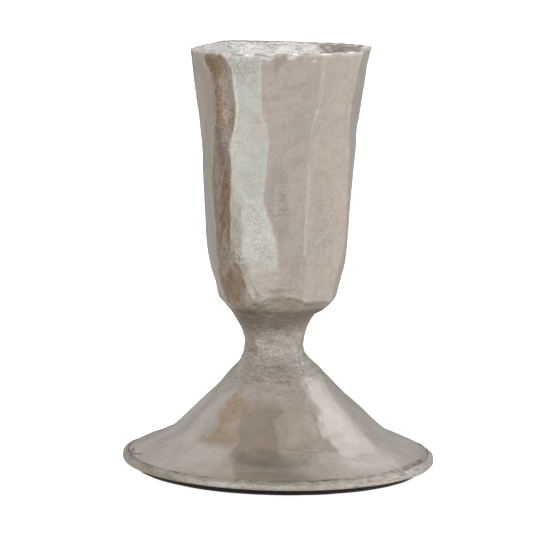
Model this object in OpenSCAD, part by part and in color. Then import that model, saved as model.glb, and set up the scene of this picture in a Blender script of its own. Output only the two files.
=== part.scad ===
// Communion chalice: a tall hammered cup with long flat facets, on a short waisted
// stem and a wide conical foot with an edge band and a felt pad under it.
// Millimetres, +Z up. The origin is the centre of the face that it stands on.

/* [Cup] */
// Height of the whole chalice, from the table to the rim
total_h = 177; // [165:1:195]
// Mouth radius, out to a corner between two facets
mouth_r = 39.4; // [37:0.2:42]
// Thickness of the cup's wall
cup_wall = 1.8; // [1.2:0.1:2.6]
// Thickness of the cup's bottom
cup_bottom = 4.2; // [3:0.1:4.4]
// How far the facet edges sway to and fro on their way up, in degrees
facet_sway = 2.5; // [0:0.5:5]

/* [Stem] */
// Height of the cup's underside above the table
cup_z = 66; // [63:0.5:70]
// Radius of the stem at its waist
waist_r = 12.4; // [11.5:0.1:14]
// Radius of the stem where it meets the cup
stem_top_r = 17.8; // [17:0.1:18.2]

/* [Foot] */
// Outer radius of the foot, over the edge band
foot_r = 66; // [62:0.5:72]
// Height of the foot's top, where the stem stands
foot_top_z = 48.5; // [47:0.5:50]
// Radius of the foot's top
foot_top_r = 13.2; // [12.5:0.1:14.5]
// Slope of the upper cone, from level, in degrees
cone_slope = 45.5; // [45:0.5:48]
// Slope of the skin at the edge band, from level, in degrees
edge_slope = 20; // [16:1:24]
// Thickness of the foot's skin
foot_wall = 2; // [1.5:0.1:2.2]
// Width of the edge band, seen from above
band_w = 2.6; // [2.4:0.1:5]

/* [Pad] */
// Radius of the felt pad
pad_r = 61.2; // [59.2:0.1:61.5]
// Thickness of the felt pad
pad_h = 3; // [2:0.1:4]

/* [Fastening] */
// Radius of the tie stud over its thread
stud_r = 4; // [3:0.5:4]
// Height of the stud's lower end above the table
stud_low_z = 33.5; // [30:0.5:34]

/* [Hidden] */
$fn = 96;

pewter = "#b3a89e";
pewter_dark = "#a3998f";
steel = "#c4c8cc";
felt = "#1b1a1a";

// Facet edges round the cup: angle from the front, positive to the right, and
// the edge's distance from the axis as a share of the nominal radius.
facet_edges = [[-102, 0.99], [-57, 0.975], [-37, 0.985], [-8, 0.97], [24, 0.98], [64, 0.99],
               [106, 1.02], [143, 1], [178, 1.03], [215, 1.03]];
// Outline of the cup: share of the cup's height, and share of the mouth's radius.
cup_outline = [[0, 0.51], [0.045, 0.59], [0.085, 0.665], [0.18, 0.748], [0.29, 0.79],
               [0.49, 0.82], [0.685, 0.855], [0.85, 0.924], [1, 1]];
// How far the sway's phase moves on from one edge, or one level, to the next.
sway_per_side = 137;
sway_per_level = 75;
cup_h = total_h - cup_z;
sides = len(facet_edges);
first_inner = 2; // lowest outline level that is above the cup's floor
floor_z = cup_z + cup_bottom;
floor_inset = 1.7 * cup_wall; // the wall thickens where it turns into the floor
floor_r = mouth_r * cup_outline[first_inner - 1][1] - floor_inset;

clearance = 0.1;
soft_edge = 0.5; // small bevel on the edge band
through = 1; // how far a cutting tool runs past the face that it cuts
bore_r = stud_r + 0.5;
boss_r = 10;
boss_h = 5;
stem_waist_z = foot_top_z + 4.5;
flare_steps = 9;

ledge_z = pad_h + 2.2;
disc_h = 1.2;
band_low_z = pad_h;
band_high_z = pad_h + 2.5;
skin_r = foot_r - band_w;
land_w = 3.8; // width of the flat that solders the skin to the edge band
lip_w = 4;
recess_r = pad_r - 2.5;
web_h = 3;
blend_steps = 8;

washer_r = 12;
washer_h = 2;
spring_r = 7.4;
spring_h = 2;
spring_gap = 1.2;
spring_slant = 20;
nut_across = 13;
nut_h = 6.5;
nut_corner = 0.9;
pitch = 1.25;
thread_depth = 0.65;
web_z = foot_top_z - web_h;
washer_z = web_z - washer_h;
spring_z = washer_z - spring_h;
nut_z = spring_z - nut_h;
boss_skin = 1; // metal left above the boss's blind hole
stud_high_z = cup_z - boss_skin;

// The skin runs straight down from the foot's top, then round an arc that turns it
// from the cone's slope to the edge's slope. The arc's radius follows from both ends.
skin_top = [foot_top_r, foot_top_z];
skin_edge = [skin_r, band_high_z + band_w * tan(edge_slope)];
cone_normal = [sin(cone_slope), cos(cone_slope)];
edge_normal = [sin(edge_slope), cos(edge_slope)];
blend_r = (skin_edge - skin_top) * cone_normal / (1 - cos(cone_slope - edge_slope));
blend_centre = skin_edge + blend_r * edge_normal;
inner_top = skin_top - foot_wall * cone_normal;
inner_web_r = inner_top[0] + (inner_top[1] - web_z) / tan(cone_slope);
land_slope = asin((blend_centre[0] - skin_r + land_w) / (blend_r + foot_wall));

// A point on the skin's arc, where it slopes by the given angle.
function on_blend(slope, radius) = blend_centre - radius * [sin(slope), cos(slope)];
function between(a, b, share) = a + (b - a) * share;
function about_axis(radius, angle, z) = [radius * sin(angle), -radius * cos(angle), z];

// One ring of the cup's corners at an outline level.
function cup_ring(level, inset, z, radius) = [
    for (i = [0:sides - 1])
        let (sway = facet_sway * sin(sway_per_side * i + sway_per_level * level))
            about_axis(radius * facet_edges[i][1] - inset, facet_edges[i][0] + sway, z)
];
function outline_z(level) = cup_z + cup_h * cup_outline[level][0];
function outline_r(level) = mouth_r * cup_outline[level][1];

// Two triangles for each wall panel between two rings of corners.
function wall_faces(rings) = [
    for (k = [0:rings - 2], i = [0:sides - 1])
        let (a = k * sides + i, b = k * sides + (i + 1) % sides)
            each [[a, a + sides, b], [b, a + sides, b + sides]]
];

module cup() {
    last = len(cup_outline) - 1;
    rings = concat(
        [for (k = [0:last]) cup_ring(k, 0, outline_z(k), outline_r(k))],
        [for (k = [last:-1:first_inner]) cup_ring(k, cup_wall, outline_z(k), outline_r(k))],
        [cup_ring(first_inner, 0, floor_z, floor_r)]
    );
    count = len(rings);
    underside = [for (i = [0:sides - 1]) i];
    inside_floor = [for (i = [sides - 1:-1:0]) (count - 1) * sides + i];
    color(pewter)
        polyhedron(
            points = [for (ring = rings) each ring],
            faces = concat([underside], wall_faces(count), [inside_floor]),
            convexity = 4
        );
}

module stem() {
    rise = cup_z - stem_waist_z;
    flare = stem_top_r - waist_r;
    flare_r = (rise * rise + flare * flare) / (2 * flare);
    flare_end = asin(rise / flare_r);
    flare_arc = [
        for (i = [0:flare_steps])
            let (a = flare_end * i / flare_steps)
                [waist_r + flare_r * (1 - cos(a)), stem_waist_z + flare_r * sin(a)]
    ];
    socket_r = boss_r + clearance;
    color(pewter_dark)
        rotate_extrude()
            polygon(concat(
                [[bore_r, foot_top_z], [foot_top_r, foot_top_z], [waist_r + clearance, foot_top_z + 2]],
                flare_arc,
                [[socket_r, cup_z], [socket_r, cup_z - boss_h], [bore_r, cup_z - boss_h]]
            ));
}

module foot() {
    outer_arc = [
        for (i = [0:blend_steps])
            on_blend(between(cone_slope, edge_slope, i / blend_steps), blend_r)
    ];
    inner_arc = [
        for (i = [0:blend_steps])
            on_blend(between(land_slope, cone_slope, i / blend_steps), blend_r + foot_wall)
    ];
    color(pewter_dark)
        rotate_extrude()
            polygon(concat(
                [[bore_r, foot_top_z], skin_top],
                outer_arc,
                [[skin_r, ledge_z], [skin_r - land_w, ledge_z]],
                inner_arc,
                [[inner_web_r, web_z], [bore_r, web_z]]
            ));
}

module foot_rim() {
    joint_r = skin_r + clearance;
    color(pewter_dark)
        rotate_extrude()
            polygon([
                [recess_r, band_low_z],
                [foot_r - soft_edge, band_low_z],
                [foot_r, band_low_z + soft_edge],
                [foot_r, band_high_z - soft_edge],
                [foot_r - soft_edge, band_high_z + soft_edge * tan(edge_slope)],
                [joint_r, skin_edge[1]],
                [joint_r, ledge_z],
                [recess_r - lip_w, ledge_z],
                [recess_r - lip_w, band_low_z + disc_h],
                [recess_r, band_low_z + disc_h]
            ]);
}

module felt_pad() {
    color(felt)
        cylinder(r = pad_r, h = pad_h);
}

module stud_boss() {
    color(steel)
        translate([0, 0, cup_z - boss_h])
            difference() {
                cylinder(r = boss_r, h = boss_h);
                translate([0, 0, -boss_skin])
                    cylinder(r = stud_r + clearance, h = boss_h);
            }
}

module tie_stud() {
    root_r = stud_r - thread_depth;
    turns = floor((stud_high_z - stud_low_z) / pitch) - 1;
    thread = [
        for (i = [0:turns - 1])
            let (z = stud_low_z + (i + 0.5) * pitch)
                each [[root_r, z], [stud_r, z + pitch * 0.4], [stud_r, z + pitch * 0.55]]
    ];
    color(steel)
        rotate_extrude()
            polygon(concat(
                [[0, stud_low_z], [root_r, stud_low_z]],
                thread,
                [[root_r, stud_low_z + (turns + 0.5) * pitch], [root_r, stud_high_z], [0, stud_high_z]]
            ));
}

module flat_ring(outer_r, inner_r, height) {
    difference() {
        cylinder(r = outer_r, h = height);
        translate([0, 0, -through])
            cylinder(r = inner_r, h = height + 2 * through);
    }
}

module wide_washer() {
    color(steel)
        translate([0, 0, washer_z])
            flat_ring(washer_r, bore_r, washer_h);
}

module spring_washer() {
    color(steel)
        translate([0, 0, spring_z])
            difference() {
                flat_ring(spring_r, stud_r + 3 * clearance, spring_h);
                rotate([0, spring_slant, 0])
                    translate([-spring_gap / 2, 0, -spring_h])
                        cube([spring_gap, spring_r + through, 4 * spring_h]);
            }
}

module nut() {
    corner_r = nut_across / 2 / cos(30);
    color(steel)
        translate([0, 0, nut_z])
            difference() {
                intersection() {
                    cylinder(r = corner_r, h = nut_h, $fn = 6);
                    rotate_extrude()
                        polygon([
                            [0, 0],
                            [corner_r - nut_corner, 0],
                            [corner_r + soft_edge, nut_corner],
                            [corner_r + soft_edge, nut_h - nut_corner],
                            [corner_r - nut_corner, nut_h],
                            [0, nut_h]
                        ]);
                }
                translate([0, 0, -through])
                    cylinder(r = stud_r + clearance, h = nut_h + 2 * through);
            }
}

module base_disc() {
    color(steel)
        translate([0, 0, band_low_z])
            cylinder(r = recess_r - clearance, h = disc_h);
}

cup();
stem();
foot();
foot_rim();
felt_pad();
stud_boss();
tie_stud();
wide_washer();
spring_washer();
nut();
base_disc();
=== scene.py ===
"""A hand-hammered pewter chalice on a pale floor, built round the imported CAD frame.

Shapes are worked out in millimetres and turned into metres when a mesh is made.
Angles go round the axis in degrees: 0 faces the viewer and positive is to the right.
"""

import math

import bpy
import numpy as np
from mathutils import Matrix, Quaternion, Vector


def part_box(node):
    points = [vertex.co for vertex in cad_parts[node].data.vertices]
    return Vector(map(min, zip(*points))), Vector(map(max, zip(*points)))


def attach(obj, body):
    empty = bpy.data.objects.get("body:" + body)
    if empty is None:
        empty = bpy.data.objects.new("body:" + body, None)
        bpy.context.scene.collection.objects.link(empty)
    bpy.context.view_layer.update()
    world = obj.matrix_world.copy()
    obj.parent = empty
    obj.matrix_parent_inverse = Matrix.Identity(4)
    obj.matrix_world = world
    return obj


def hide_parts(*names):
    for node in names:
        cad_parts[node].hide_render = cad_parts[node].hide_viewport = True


MM = 0.001
BODY = "root"

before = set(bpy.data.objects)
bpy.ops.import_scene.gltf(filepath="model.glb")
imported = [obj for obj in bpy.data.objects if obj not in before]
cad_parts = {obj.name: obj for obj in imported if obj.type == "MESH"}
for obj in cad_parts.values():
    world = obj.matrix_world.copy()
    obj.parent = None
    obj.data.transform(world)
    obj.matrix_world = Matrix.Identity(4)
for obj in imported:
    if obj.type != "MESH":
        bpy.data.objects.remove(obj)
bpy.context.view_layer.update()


# ---------------- sizes from the frame

def corner_mm(node, which):
    """The lowest (0) or highest (1) corner of a CAD node, in millimetres."""
    return [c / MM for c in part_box(node)[which]]


CUP_LOW = corner_mm("cup", 0)[2]
RIM_Z = corner_mm("cup", 1)[2]
STEM_LOW = corner_mm("stem", 0)[2]
FOOT_R = corner_mm("foot_rim", 1)[0]
BAND_LOW = corner_mm("foot_rim", 0)[2]
BAND_TOP = corner_mm("foot_rim", 1)[2]
SKIN_R = corner_mm("foot", 1)[0]
FOOT_TOP = corner_mm("foot", 1)[2]
SKIN_LOW = corner_mm("foot", 0)[2]
PAD_R = corner_mm("felt_pad", 1)[0]
PAD_H = corner_mm("felt_pad", 1)[2]


# ---------------- curves and noise

def smooth_path(points, at):
    """A smooth curve through (height, value) points given from high to low or low to high."""
    pts = np.array(sorted(points), float)
    x, y = pts[:, 0], pts[:, 1]
    step = np.diff(x)
    rise = np.diff(y) / step
    slope = np.empty_like(x)
    slope[0], slope[-1] = rise[0], rise[-1]
    same = rise[:-1] * rise[1:] > 0
    mean = 2 * rise[:-1] * rise[1:] / np.where(same, rise[:-1] + rise[1:], 1)
    slope[1:-1] = np.where(same, mean, 0)
    at = np.clip(at, x[0], x[-1])
    i = np.clip(np.searchsorted(x, at) - 1, 0, len(x) - 2)
    t = (at - x[i]) / step[i]
    a = (1 + 2 * t) * (1 - t) ** 2 * y[i] + t * (1 - t) ** 2 * step[i] * slope[i]
    b = t * t * (3 - 2 * t) * y[i + 1] + t * t * (t - 1) * step[i] * slope[i + 1]
    return a + b


def smooth_min(a, b, width):
    """The smaller of two surfaces, with the crease between them rounded over width."""
    t = np.clip(0.5 + 0.5 * (b - a) / width, 0, 1)
    return b + (a - b) * t - width * t * (1 - t)


def smooth_max(a, b, width):
    return -smooth_min(-a, -b, width)


def smooth_step(low, high, x):
    t = np.clip((x - low) / (high - low), 0, 1)
    return t * t * (3 - 2 * t)


def wrap(degrees):
    return (degrees + 180) % 360 - 180


def strongest(*fields):
    return np.max(np.stack(np.broadcast_arrays(*fields)), axis=0)


def waves(seed, x, y, z, length, count=14):
    """Smooth random lumps about one unit high, with features about length millimetres across."""
    rng = np.random.default_rng(seed)
    total = np.zeros(np.broadcast(x, y, z).shape)
    for _ in range(count):
        way = rng.normal(size=3)
        way *= rng.uniform(0.6, 1.5) * math.pi / length / np.linalg.norm(way)
        phase = rng.uniform(0, 2 * math.pi)
        total += np.sin(way[0] * x + way[1] * y + way[2] * z + phase)
    return total * math.sqrt(2 / count)


def ring_waves(seed, radius, angle, z, length, count=14):
    """The same lumps on a round surface, for a place given by angle and height."""
    t = np.radians(angle)
    return waves(seed, radius * np.sin(t), radius * np.cos(t), z, length, count)


# How far the hand-made pieces stand off the axis, to the right, by height.
AXIS_SHIFT = [
    (0, 1.4), (16, 1.35), (24, 1.0), (36, 0.5), (43, 0.2), (49, -1.2), (56, -1.4), (64, -1.75),
    (70, -1.1), (76, -0.6), (84, -0.9), (97, -1.1), (124, -0.95), (133, -0.8), (145, -1.25), (177, -1.25),
]


def axis_shift(z):
    return smooth_path(AXIS_SHIFT, z)


# ---------------- mesh making

SHARP = 50  # a crease that turns more than this many degrees is drawn sharp


def new_object(name, data):
    """An object in the scene that shows a mesh, a lamp or a camera."""
    item = bpy.data.objects.new(name, data)
    bpy.context.scene.collection.objects.link(item)
    return item


def smooth_mesh(name, points, faces):
    mesh = bpy.data.meshes.new(name)
    mesh.from_pydata(points, [], faces)
    for polygon in mesh.polygons:
        polygon.use_smooth = True
    return mesh


def new_piece(name, points, faces, node, tags):
    """A mesh piece in metres that stands for a CAD node, which it hides.

    tags are named values, one for every point.
    """
    mesh = smooth_mesh(name, (points * MM).tolist(), faces)
    mesh.validate()
    piece = new_object(name, mesh)
    mesh.set_sharp_from_angle(angle=math.radians(SHARP))
    for tag, values in tags.items():
        attribute = mesh.attributes.new(tag, "FLOAT", "POINT")
        attribute.data.foreach_set("value", values.astype(np.float32))
    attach(piece, BODY)
    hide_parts(node)
    return piece


def ring_faces(count, sides, closed):
    """Four-sided faces between rings; closed joins the last ring back to the first."""
    faces = []
    for k in range(count if closed else count - 1):
        up = (k + 1) % count
        for i in range(sides):
            j = (i + 1) % sides
            faces.append((k * sides + i, k * sides + j, up * sides + j, up * sides + i))
    return faces


def turned(name, rings, node, tags):
    """A closed skin over a stack of rings, capped with a point at both ends.

    rings has the shape (ring, place round the ring, 3). tags are named values per ring point.
    """
    count, sides = rings.shape[:2]
    points = np.concatenate([rings.reshape(-1, 3), [rings[0].mean(0), rings[-1].mean(0)]])
    low, high = count * sides, count * sides + 1
    top = (count - 1) * sides
    faces = ring_faces(count, sides, False)
    for i in range(sides):
        faces.append((low, (i + 1) % sides, i))
        faces.append((high, top + i, top + (i + 1) % sides))
    full = {}
    for tag, values in tags.items():
        full[tag] = np.concatenate([values.reshape(-1), [values[0].mean(), values[-1].mean()]])
    return new_piece(name, points, faces, node, full)


def round_angles(sides):
    """Angles of the points of a ring, as one row."""
    return np.linspace(-180, 180, sides, endpoint=False)[None, :]


def ring_points(radius, angle, z):
    """Points of rings at the given radii, with the hand-made shift off the axis."""
    turn = np.radians(angle)
    x = radius * np.sin(turn) + axis_shift(z)
    return np.stack([x, -radius * np.cos(turn), z + 0 * radius], axis=-1)


def bell(width):
    """The weights of a blur, and how many samples it reaches each way."""
    reach = int(3 * width) + 1
    kernel = np.exp(-0.5 * (np.arange(-reach, reach + 1) / width) ** 2)
    return kernel / kernel.sum(), reach


def blur_round(values, width):
    """Blurs each row round the ring; width is in samples."""
    kernel, reach = bell(width)
    padded = np.concatenate([values[:, -reach:], values, values[:, :reach]], axis=1)
    return np.stack([np.convolve(row, kernel, mode="valid") for row in padded])


def blur_up(values, width):
    """Blurs each column from ring to ring; width is in rings."""
    kernel, reach = bell(width)
    padded = np.pad(values, ((reach, reach), (0, 0)), mode="reflect", reflect_type="odd")
    return np.stack([np.convolve(column, kernel, mode="valid") for column in padded.T], axis=1)


MM_PER_DEGREE = 0.55  # along the surface, taken the same on every piece
LEAF_R = 32  # radius at which the wandering of the leaf's borders is worked out
RAG_LENGTH = 3.5  # size in millimetres of the wandering
FAR = 99.0  # stands for a border or a flat that is nowhere near


def chain_distance(across, up, corners, closed):
    """Distance to a chain of straight lines, and whether each point is inside it."""
    corners = [(a * MM_PER_DEGREE, height) for a, height in corners]
    ends = corners[1:] + corners[:1] if closed else corners[1:]
    near = np.full(across.shape, FAR)
    inside = np.zeros(across.shape, bool)
    for (x0, y0), (x1, y1) in zip(corners, ends):
        dx, dy = x1 - x0, y1 - y0
        t = np.clip(((across - x0) * dx + (up - y0) * dy) / (dx * dx + dy * dy), 0, 1)
        near = np.minimum(near, np.hypot(across - x0 - t * dx, up - y0 - t * dy))
        if dy:
            beyond = across < x0 + (up - y0) * dx / dy
            inside ^= ((y0 > up) != (y1 > up)) & beyond
    return near, inside


class Surface:
    """A piece's surface, on which patches are placed by angle and height. Each is 0 to 1."""

    def __init__(self, angle, z):
        self.angle = angle
        self.z = z
        self.pushed = {}

    def waves(self, seed, radius, length, count=14):
        return ring_waves(seed, radius, self.angle, self.z, length, count)

    def ragged_place(self, amount):
        """Place on the unrolled surface in millimetres, pushed to and fro so that borders wander."""
        if amount not in self.pushed:
            side = self.waves(81, LEAF_R, RAG_LENGTH, 20)
            rise = self.waves(82, LEAF_R, RAG_LENGTH, 20)
            across = wrap(self.angle) * MM_PER_DEGREE + amount * side
            self.pushed[amount] = across, self.z + 0.6 * amount * rise
        return self.pushed[amount]

    def patch(self, place, height, half_angle, half_height):
        """A soft round patch, 1 in its middle."""
        across = wrap(self.angle - place) / half_angle
        return np.exp(-across ** 2 - ((self.z - height) / half_height) ** 2)

    def leaf(self, corners, soft=0.7, ragged=0.45):
        """A patch with (angle, height) corners: 1 inside, fading over soft millimetres."""
        across, up = self.ragged_place(ragged)
        near, inside = chain_distance(across, up, corners, True)
        return smooth_step(-soft, soft, np.where(inside, near, -near))

    def streak(self, corners, width, ragged=0.12):
        """A thin line through the given (angle, height) points."""
        across, up = self.ragged_place(ragged)
        near, _ = chain_distance(across, up, corners, False)
        return smooth_step(width, 0.3 * width, near)

    def patches(self, rows):
        """The strongest of many patches, each given as its strength and the values for patch."""
        return strongest(*(strength * self.patch(*place) for strength, *place in rows))

    def leaves(self, rows):
        return strongest(*(strength * self.leaf(*place) for strength, *place in rows))

    def streaks(self, rows):
        return strongest(*(strength * self.streak(*place) for strength, *place in rows))


def hammering(radius, angle, z):
    """Height of the hand work over the smooth surface, the same field for every metal piece."""
    turn = np.radians(angle)
    x, y = radius * np.sin(turn), -radius * np.cos(turn)
    broad = 0.10 * waves(3, x, y, 0.7 * z, 14)
    folds = 0.06 * waves(10, x, y, z, 2.8, 30) * smooth_step(30, 40, z) * smooth_step(66, 58, z)
    return broad + 0.045 * waves(4, x, y, z, 5, 24) + 0.014 * waves(9, x, y, z, 2.2, 30) + folds


# ---------------- the cup

# Radius of the facet edges by height.
CUP_RADIUS = [
    (66, 24.6), (72, 26.0), (78, 27.4), (86, 29.7), (98, 31.2), (106, 31.6), (118, 32.5),
    (130, 33.3), (142, 34.0), (155, 36.0), (166, 37.9), (178, 39.8),
]
# Each facet edge by height: its angle, then its radius as a share of the cup's.
CUP_EDGES = [
    ([(66, -106), (120, -103), (150, -100), (177, -96)],
     [(66, 1.0), (150, 0.981), (166, 0.965), (177, 0.95)]),
    ([(66, -66), (74, -64), (80, -60), (84, -56), (96, -55), (107, -56), (122, -58), (134, -57),
      (145, -53), (152, -48.2), (165, -47.2), (170, -52), (174, -56), (177, -54)],
     [(66, 0.985), (150, 0.985), (177, 0.965)]),
    ([(66, -46), (80, -42), (91, -38.5), (103, -39), (118, -38), (130, -36), (137, -38),
      (147, -31.5), (156, -28.5), (165, -29.5), (172, -31.5), (175, -36), (177, -40)],
     [(66, 1.0), (91, 1.0), (150, 1.0), (177, 0.965)]),
    ([(66, -26), (84, -27), (97, -26), (108, -27), (116, -28.5), (123, -33), (137, -34),
      (147, -28.5), (156, -25.5), (166, -26.5), (177, -30)],
     [(66, 1.0), (86, 1.003), (97, 1.004), (110, 1.0), (122, 0.985), (140, 0.985), (177, 0.95)]),
    ([(66, 4), (84, 2), (92, 1), (99, 0), (105, -3), (110, -7), (115, -9.5), (119, -11.5),
      (128, -10), (135, -9), (143, -7), (149, -10), (154, -12.5), (177, -12)],
     [(66, 0.985), (110, 0.985), (150, 0.99), (177, 0.95)]),
    ([(66, 24), (90, 23), (130, 23), (142, 23), (148, 24), (154, 26.5), (163, 29), (177, 29)],
     [(66, 1.0), (150, 0.995), (177, 0.96)]),
    ([(66, 60), (84, 62), (96, 65), (107, 68), (122, 64), (132, 62), (142, 61), (153, 57),
      (166, 59), (177, 62)],
     [(66, 1.0), (150, 0.995), (177, 0.98)]),
    ([(66, 101), (110, 104), (150, 106), (177, 114)],
     [(66, 1.0), (125, 1.0), (150, 1.014), (168, 1.036), (177, 1.074)]),
    ([(66, 140), (100, 142), (135, 139), (177, 146)], [(66, 0.99), (177, 1.0)]),
    ([(66, 178), (100, 174), (140, 179), (177, 180)], [(66, 1.0), (150, 1.01), (177, 1.06)]),
    ([(66, 217), (105, 220), (150, 214), (177, 212)], [(66, 1.01), (150, 1.01), (177, 1.06)]),
]
# How far each facet's middle stands proud of its flat chord, after the edge of the same place.
CUP_BULGE = [0.2, 0.05, 0.05, 0.1, 0.2, 0.25, 0.25, 0.3, 0.3, 0.3, 0.3]
# Planished flats that cut the bottom: angle, height, distance from the axis there, undercut.
CUP_FLATS = [
    (-46, 82, 26.5, 22), (-24, 80, 27.1, 17), (-10, 88, 28.9, 13), (14, 80, 27.3, 12),
    (-74, 82, 26.7, 20), (-96, 78, 26.6, 24), (62, 80, 28.0, 12), (120, 80, 27.4, 15), (165, 79, 27.2, 14),
    (-150, 80, 27.2, 15), (-118, 79, 27.0, 16),
    (4, 76.8, 26.6, 43), (40, 74.6, 26.0, 46), (84, 74.4, 26.8, 46), (84, 68, 19.6, 64),
    (-40, 71.5, 23.4, 52), (-15, 73.4, 24.6, 50), (-72, 72.4, 23.2, 46), (-106, 73, 23.8, 44),
    (122, 74, 25.6, 46), (160, 73.6, 25.6, 48), (-158, 74, 25.4, 46), (-132, 73, 24.8, 47),
]
CUP_SIDES = 384
CUP_RINGS = 140
LOW_RINGS = 36  # rings in the cup's bottom part, where the flats meet
LOW_SHARE = 0.14
LIP_RINGS = 8  # rings just under the lip
LIP_SHARE = 0.97
INNER_RINGS = 72
CUP_WALL = 1.5
CUP_FLOOR = 70.2  # height of the bowl's bottom
MOUTH_R = 38  # radius at which the unevenness of the lip is worked out
LIP_ROUND = 0.75  # height of the rounding of the lip
EDGE_ROUND = 0.8  # samples of blur that round off the facet edges
FLAT_ROUND = 0.35  # width of the creases between the flats
NECK_ROUND = 0.7  # width of the crease between cup and neck
RIDGE_FULL = 0.12  # how far a facet edge stands up where its burnish and painted highlight are full
# The lip isn't level. Its rise over the nominal height by angle.
LIP_RISE = [
    (-180, 0.2), (-150, 0.5), (-137, 0.9), (-120, 0.6), (-96, 0.3), (-80, 0.1), (-67, 0.6), (-55, 1.3),
    (-40, 2.0), (-29, 1.6), (-22, 2.0), (-14, 2.3), (-6, 1.7), (0, 2.6), (6, 2.3), (17, 2.9), (31, 2.7),
    (51, 2.5), (72, 1.7), (94, 1.1), (110, 1.2), (123, 1.15), (138, 0.85), (150, 0.55), (168, 0.15),
    (180, 0.2),
]
# Lengths of lip with a painted highlight: angle and half-width.
LIP_HIGHLIGHTS = [(-38, 5), (-20, 3), (30, 4), (53, 9), (-120, 12), (172, 9), (120, 6)]
# Lengths of lip with a painted dark line of shade under them.
LIP_DARK = [(-27, 5), (-8, 8), (5, 4), (20, 5), (80, 7), (140, 9), (-150, 8)]
DARK_REFLECTION_INSIDE = 137  # angle of the painted dark reflection inside the mouth
PITTED_INSIDE = -152  # angle of the pitted patch there


def cup_facets(z, angle):
    """Radius of the bare facets at heights z (a column) and angles (a row)."""
    level = z[:, 0]
    radius = smooth_path(CUP_RADIUS, level)
    corner_a = np.stack([smooth_path(path, level) for path, _ in CUP_EDGES], axis=1)
    corner_r = np.stack([radius * smooth_path(share, level) for _, share in CUP_EDGES], axis=1)
    bulge = np.array(CUP_BULGE)
    rows = []
    for a, r in zip(corner_a, corner_r):
        a = np.append(a, a[0] + 360)
        r = np.append(r, r[0])
        theta = a[0] + (angle[0] - a[0]) % 360
        i = np.clip(np.searchsorted(a, theta, side="right") - 1, 0, len(bulge) - 1)
        left, right = np.radians(theta - a[i]), np.radians(a[i + 1] - theta)
        chord = r[i] * r[i + 1] * np.sin(left + right)
        chord /= r[i] * np.sin(left) + r[i + 1] * np.sin(right)
        t = left / (left + right)
        rows.append(chord + bulge[i] * 4 * t * (1 - t))
    return np.stack(rows)


def cup_outside(z, angle):
    """Radius of the cup's outside, facets cut by the flats and run into the neck."""
    out = blur_round(cup_facets(z, angle), EDGE_ROUND)
    for place, height, across, undercut in CUP_FLATS:
        off = np.cos(np.radians(wrap(angle - place)))
        flat = (across + math.tan(math.radians(undercut)) * (z - height)) / np.maximum(off, 0.05)
        out = smooth_min(out, np.where(off > 0.3, flat, FAR), FLAT_ROUND)
    return smooth_max(out, neck_radius(z), NECK_ROUND)


def cup_crinkles(on):
    """How crinkled the leaf is: most in a few patches, round the lip and at the bottom."""
    wild = on.waves(71, LEAF_R, 22)
    behind = smooth_step(60, 110, np.abs(on.angle))
    patches = on.patches([
        (0.5, -18, 110, 9, 10), (1.15, -32, 92, 8, 6), (0.45, -10, 97, 14, 8), (0.9, -26, 77, 9, 4),
        (0.7, -48, 92, 9, 12), (0.9, -46, 150, 9, 30), (0.5, 38, 108, 16, 26), (0.75, 3, 118, 6, 14),
        (0.4, 18, 150, 9, 8), (0.5, -30, 173, 20, 6), (0.5, 14, 83, 10, 6),
    ])
    return 0.14 + strongest(
        patches, 0.7 * smooth_step(74, 69, on.z), 0.5 * smooth_step(0.6, 1.6, wild) * behind,
    )


def cup_glints(on):
    """Painted highlights: small bright spots on the lip and just under it."""
    highlight_bits = smooth_step(0.1, 0.8, on.waves(15, MOUTH_R, 2.0, 24))
    return strongest(
        on.leaves([
            (1, [(-13, 176.9), (-11.5, 175.9), (-7, 175.4), (-3.5, 176.1), (-2.5, 176.9),
                 (-7, 176.5)], 0.25, 0.15),
            (1, [(4.5, 175.9), (6, 175.3), (9, 175.5), (12, 177), (10, 177.6), (7, 176.9)], 0.25, 0.15),
        ]),
        on.patches([
            (0.8, 22.7, 174.4, 1.4, 0.6), (0.7, -18, 176.4, 1.6, 0.5), (0.6, 27, 176.6, 2, 0.4),
            (0.6, 35, 176.7, 2.5, 0.4), (0.5, -33, 176.8, 2.5, 0.5),
        ]),
        0.7 * highlight_bits * smooth_step(0.7, 0.3, np.abs(on.z - 176.6)),
    )


def cup_corner(on):
    """A painted bright reflection: the crumpled triangle beside the brown flat at the cup's lower left."""
    return on.leaf([(-27, 80.5), (-19.5, 77.5), (-22, 72.5), (-31, 72.5), (-33, 75.5)], 0.7)


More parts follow.
